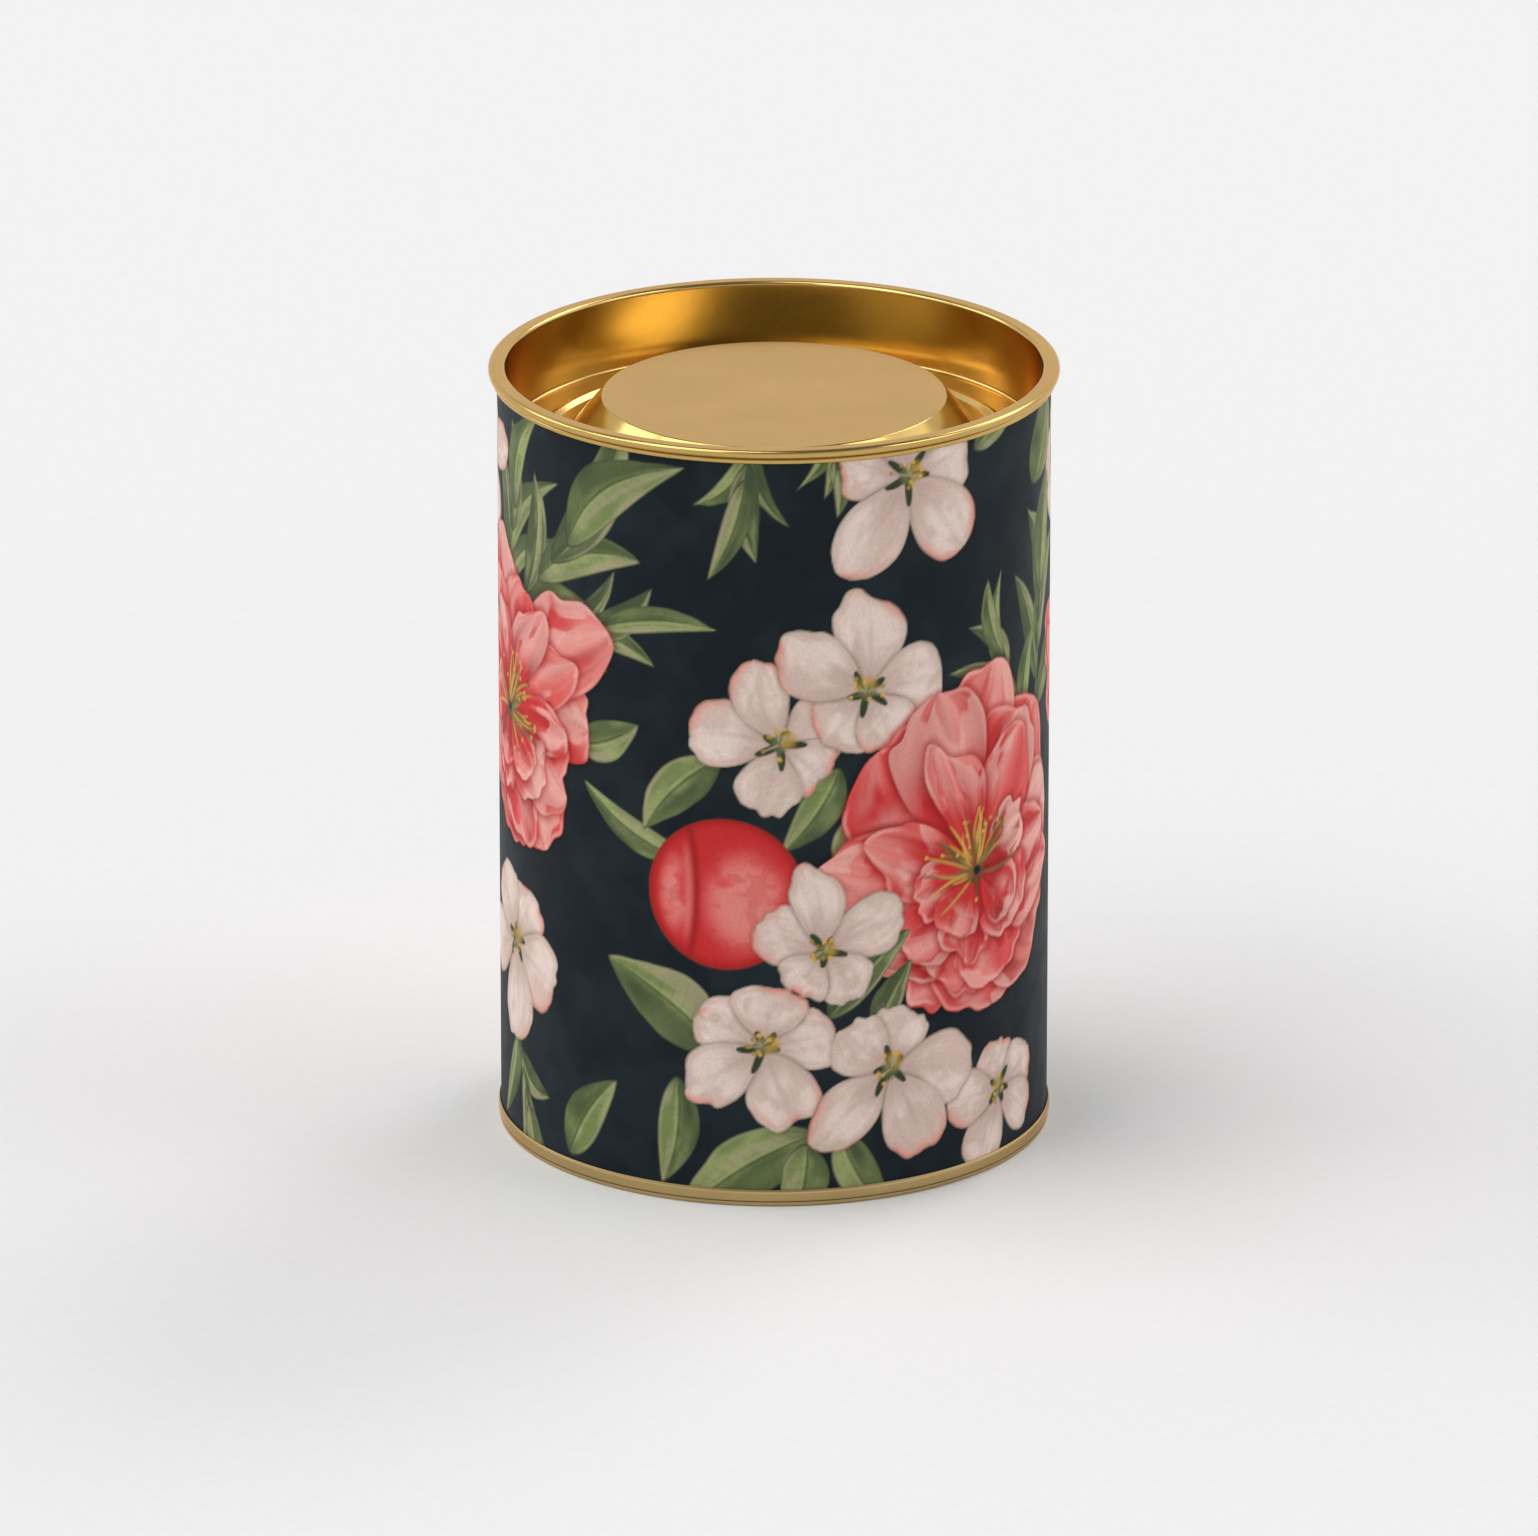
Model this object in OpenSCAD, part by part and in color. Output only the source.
// Round cookie tin: a paperboard tube with a printed label, tinplate ends and a plug lid.
// Lengths in millimetres. The tin stands on z = 0 with its axis on Z; the front is -Y.

/* [Tube] */
// Bore radius of the tube
bore_r = 49.5; // [45:0.5:55]
// Height of the tube's lower edge above the table
tube_bottom = 0.55; // [0.5:0.05:0.8]
// Height of the tube's upper edge
tube_top = 143.0; // [100:0.5:180]
// Thickness of the foil liner
liner_t = 0.15; // [0.1:0.05:0.3]
// Thickness of each of the two board plies
ply_t = 0.32; // [0.25:0.01:0.45]
// Thickness of the printed paper label
label_t = 0.15; // [0.1:0.05:0.25]
// Glue line between neighbouring layers
glue_gap = 0.02; // [0.01:0.01:0.04]

/* [Label seam] */
// Width of the overlap where the label closes at the back
lap_width = 8; // [5:1:12]
// Height of the overlap's lower end, just above the base rim
lap_bottom = 3.4; // [3:0.1:5]
// Height of the overlap's upper end, just below the top rim
lap_top = 142.1; // [98:0.1:179]

/* [Tinplate] */
// Thickness of the sheet
sheet_t = 0.24; // [0.18:0.01:0.3]
// Gap between the tube and the metal pressed against it
press_gap = 0.02; // [0.01:0.01:0.05]

/* [Base end] */
// Outer radius of the base rim
base_rim_r = 51.0; // [46:0.1:57]
// Height of the base rim
base_rim_h = 3.1; // [2.9:0.1:4]
// Height of the small lip at the foot of the rim
base_lip_h = 0.7; // [0.6:0.05:0.8]
// How far the lip stands in from the rim's face
base_lip_in = 0.12; // [0.05:0.01:0.14]
// Depth of the groove between the lip and the rim's face
base_groove = 0.2; // [0.15:0.01:0.21]
// Height of the recessed panel above the table
panel_z = 3.2; // [2:0.1:6]
// Height of the countersink ridge above the panel
sink_h = 1.2; // [0.5:0.1:2]
// Width of the slope from the panel up to the countersink ridge
sink_w = 1; // [0.6:0.1:2]
// Height of the stiffening rings pressed into the panel
panel_bead_h = 0.5; // [0.2:0.1:1]
// Radius of the inner stiffening ring
panel_bead_in_r = 20; // [15:1:26]
// Radius of the outer stiffening ring
panel_bead_out_r = 38; // [31:1:41]

/* [Top ring] */
// Outer radius of the ring's rolled bead
ring_r = 51.5; // [46:0.1:57]
// Height of the top face of the ring
ring_top = 143.4; // [100:0.1:181]
// Height of the bead
ring_bead_h = 1.1; // [0.8:0.1:2]
// Depth of the collar inside the tube
collar_depth = 8.4; // [5:0.1:12]

/* [Lid] */
// Overall height of the closed tin
tin_h = 145; // [102:0.5:185]
// Outer radius of the lid's rolled rim
lid_r = 52.1; // [46:0.1:58]
// Height of the rolled rim
lid_rim_h = 1.55; // [1.2:0.05:2.5]
// Outer radius of the plug wall
plug_r = 49.15; // [44:0.05:55]
// Depth of the well floor below the rim
well_depth = 14.1; // [8:0.1:20]
// Radius of the raised ring on the well floor
floor_bead_r = 42.3; // [38:0.1:45]
// Height of the raised ring
floor_bead_h = 0.35; // [0.1:0.05:0.6]
// Width of each slope of the raised ring
floor_bead_w = 1.1; // [0.8:0.1:2]
// Depth of the gutter at the foot of the raised centre
gutter_depth = 0.45; // [0.2:0.05:1]
// Radius at the foot of the raised centre
foot_r = 38.4; // [34:0.1:41]
// Radius of the flat top of the raised centre
crown_r = 31.4; // [24:0.1:36]
// Depth of the flat top below the rim
crown_depth = 6.0; // [3:0.1:10]

/* [Bends] */
// Centre-line radius of the soft bends in the panels
soft_bend = 0.8; // [0.4:0.05:1.2]
// Centre-line radius where a wall meets a floor or a fold
wall_bend = 0.7; // [0.4:0.05:1]
// Centre-line radius of the tight folds
fold_bend = 0.45; // [0.3:0.05:0.5]
// Centre-line radius at the foot of the base rim
lip_bend = 0.3; // [0.2:0.05:0.35]
// Centre-line radius of the groove in the base rim
groove_bend = 0.16; // [0.14:0.01:0.18]
// Centre-line radius of the base rim's shoulder
shoulder_bend = 0.7; // [0.4:0.05:0.9]
// Centre-line radius where the top ring's collar folds over the tube
mouth_bend = 0.35; // [0.2:0.01:0.35]
// Centre-line radius of the top ring's bead
bead_bend = 0.42; // [0.3:0.01:0.42]
// Centre-line radius of the lid's rolled rim
rim_bend = 0.62; // [0.3:0.01:0.65]
// Centre-line radius of the curl hidden under the lid's rim
curl_bend = 0.25; // [0.15:0.05:0.3]
// Centre-line radius round the lid's flat top
crown_bend = 0.3; // [0.2:0.05:0.8]

/* [Hidden] */
liner_r = bore_r + liner_t;
inner_ply_r = liner_r + glue_gap + ply_t;
outer_ply_r = inner_ply_r + glue_gap + ply_t;
label_r = outer_ply_r + glue_gap + label_t;
collar_r = bore_r - press_gap - sheet_t/2;
lap_angle = lap_width/label_r*180/PI;
skirt_gap = 0.08;
crimp_gap = 0.14;
groove_rise = 0.2;
face_rise = 0.5;
curl_gap = 0.75;
curl_h = 0.6;
sink_in = 2.4;
panel_bead_half = 1.2;
compound_gap = 0.02;
compound_in_r = bore_r + 0.25;
compound_out_r = label_r - 0.1;
gold = [0.76, 0.58, 0.28];
bend_steps = 6;
$fn = 96;

// ---- Sheet metal drawn as a centre line with rounded bends ----

function unit(v) = v/norm(v);

function left_of(v) = [-v[1], v[0]];

// A bend of radius r at corner b, between the straights from a and towards c
function bend(a, b, c, r) =
    let(u = unit(a - b), v = unit(c - b), half = acos(u*v)/2)
    let(centre = b + unit(u + v)*r/sin(half), reach = r/tan(half))
    let(s = b + u*reach - centre, e = b + v*reach - centre)
    let(start = atan2(s[1], s[0]), turn = (atan2(e[1], e[0]) - start + 540)%360 - 180)
    [for (i = [0:bend_steps])
        centre + r*[cos(start + turn*i/bend_steps), sin(start + turn*i/bend_steps)]];

function flat_point(p) = [p[0], p[1]];

// Corners are [radius, height, bend radius]; the first and last stay sharp
function bent(corners) =
    [for (i = [0:len(corners) - 1])
        each (i == 0 || i == len(corners) - 1) ? [flat_point(corners[i])]
            : bend(flat_point(corners[i - 1]), flat_point(corners[i]),
                   flat_point(corners[i + 1]), corners[i][2])];

// Unit-thickness offset at point i of a path, mitred between its two neighbours
function mitre(path, i) =
    let(before = max(i, 1), after = min(i + 1, len(path) - 1))
    let(m = left_of(unit(path[before] - path[before - 1]))
          + left_of(unit(path[after] - path[after - 1])))
    2*m/(m*m);

function sheet_outline(path) =
    concat([for (i = [0:len(path) - 1]) path[i] + mitre(path, i)*sheet_t/2],
           [for (i = [len(path) - 1:-1:0]) path[i] - mitre(path, i)*sheet_t/2]);

// A low ring pressed up into a flat panel
function pressed_ring(r, z, h, half) =
    [[r - half - 1, z, soft_bend], [r - half, z + h, soft_bend],
     [r + half, z + h, soft_bend], [r + half + 1, z, soft_bend]];

module spun_sheet(corners) {
    rotate_extrude()
        polygon(sheet_outline(bent(corners)));
}

module band(inner, outer, low, high) {
    rotate_extrude()
        translate([inner, low])
            square([outer - inner, high - low]);
}

// ---- Tube ----

// Foil-faced liner
module inner_liner() {
    color([0.80, 0.80, 0.78])
        band(bore_r, liner_r, tube_bottom, tube_top);
}

// Inner board ply
module inner_ply() {
    color([0.68, 0.58, 0.44])
        band(inner_ply_r - ply_t, inner_ply_r, tube_bottom, tube_top);
}

// Outer board ply
module outer_ply() {
    color([0.68, 0.58, 0.44])
        band(outer_ply_r - ply_t, outer_ply_r, tube_bottom, tube_top);
}

// Paper label, lapped over itself down the back
module printed_label() {
    color([0.10, 0.13, 0.16]) {
        band(label_r - label_t, label_r, tube_bottom, tube_top);
        rotate([0, 0, 90 - lap_angle/2])
            rotate_extrude(angle = lap_angle)
                translate([label_r - label_t/2, lap_bottom])
                    square([label_t*1.5, lap_top - lap_bottom]);
    }
}

// ---- Base ----

// Spun base end: beaded panel, countersink, chuck wall and the rim crimped round the tube,
// its domed face parted by a groove from the small lip that the tin stands on
module base_end() {
    bottom = sheet_t/2;
    skirt_r = base_rim_r - sheet_t/2;
    lip_r = skirt_r - base_lip_in;
    sink_r = bore_r - sink_in;
    color(gold)
        spun_sheet(concat(
            [[0, panel_z, 0]],
            pressed_ring(panel_bead_in_r, panel_z, panel_bead_h, panel_bead_half),
            pressed_ring(panel_bead_out_r, panel_z, panel_bead_h, panel_bead_half),
            [[sink_r - sink_w, panel_z, soft_bend],
             [sink_r, panel_z + sink_h, soft_bend],
             [collar_r, panel_z + sink_h, wall_bend],
             [collar_r, bottom, fold_bend],
             [lip_r, bottom, lip_bend],
             [lip_r, base_lip_h, groove_bend],
             [skirt_r - base_groove, base_lip_h + groove_rise, groove_bend],
             [skirt_r, base_lip_h + face_rise, fold_bend],
             [skirt_r, base_rim_h - fold_bend, shoulder_bend],
             [label_r + crimp_gap, base_rim_h, 0]]));
}

// Sealing compound between the base rim and the tube's lower edge
module base_compound() {
    color([0.35, 0.33, 0.30])
        band(compound_in_r, compound_out_r, sheet_t + compound_gap, tube_bottom - compound_gap);
}

// ---- Mouth ----

// Top ring: a collar inside the tube, folded over its edge into an outer bead
module top_ring() {
    crest = ring_top - sheet_t/2;
    bead_foot = ring_top - ring_bead_h + sheet_t/2;
    color(gold)
        spun_sheet([
            [collar_r, ring_top - collar_depth, 0],
            [collar_r, crest, mouth_bend],
            [ring_r - sheet_t/2, crest, bead_bend],
            [ring_r - sheet_t/2, bead_foot, bead_bend],
            [label_r + skirt_gap, bead_foot, 0]]);
}

// Sealing compound between the top ring and the tube's upper edge
module top_compound() {
    color([0.35, 0.33, 0.30])
        band(compound_in_r, compound_out_r, tube_top + compound_gap, ring_top - sheet_t - compound_gap);
}

// ---- Lid ----

// Plug lid pressed from one sheet: rolled rim, deep well and a raised flat centre
module lid() {
    wall_r = plug_r - sheet_t/2;
    rim_r = lid_r - sheet_t/2;
    crest = tin_h - sheet_t/2;
    rim_foot = tin_h - lid_rim_h + sheet_t/2;
    floor_z = tin_h - well_depth - sheet_t/2;
    gutter_z = floor_z - gutter_depth;
    curl_r = plug_r + curl_gap;
    color(gold)
        spun_sheet([
            [0, tin_h - crown_depth - sheet_t/2, 0],
            [crown_r, tin_h - crown_depth - sheet_t/2, crown_bend],
            [foot_r, gutter_z, soft_bend],
            [floor_bead_r - floor_bead_w, gutter_z, soft_bend],
            [floor_bead_r, floor_z + floor_bead_h, fold_bend],
            [floor_bead_r + floor_bead_w, floor_z, soft_bend],
            [wall_r, floor_z, wall_bend],
            [wall_r, crest, rim_bend],
            [rim_r, crest, rim_bend],
            [rim_r, rim_foot, rim_bend],
            [curl_r, rim_foot, curl_bend],
            [curl_r, rim_foot + curl_h, 0]]);
}

inner_liner();
inner_ply();
outer_ply();
printed_label();
base_end();
base_compound();
top_ring();
top_compound();
lid();
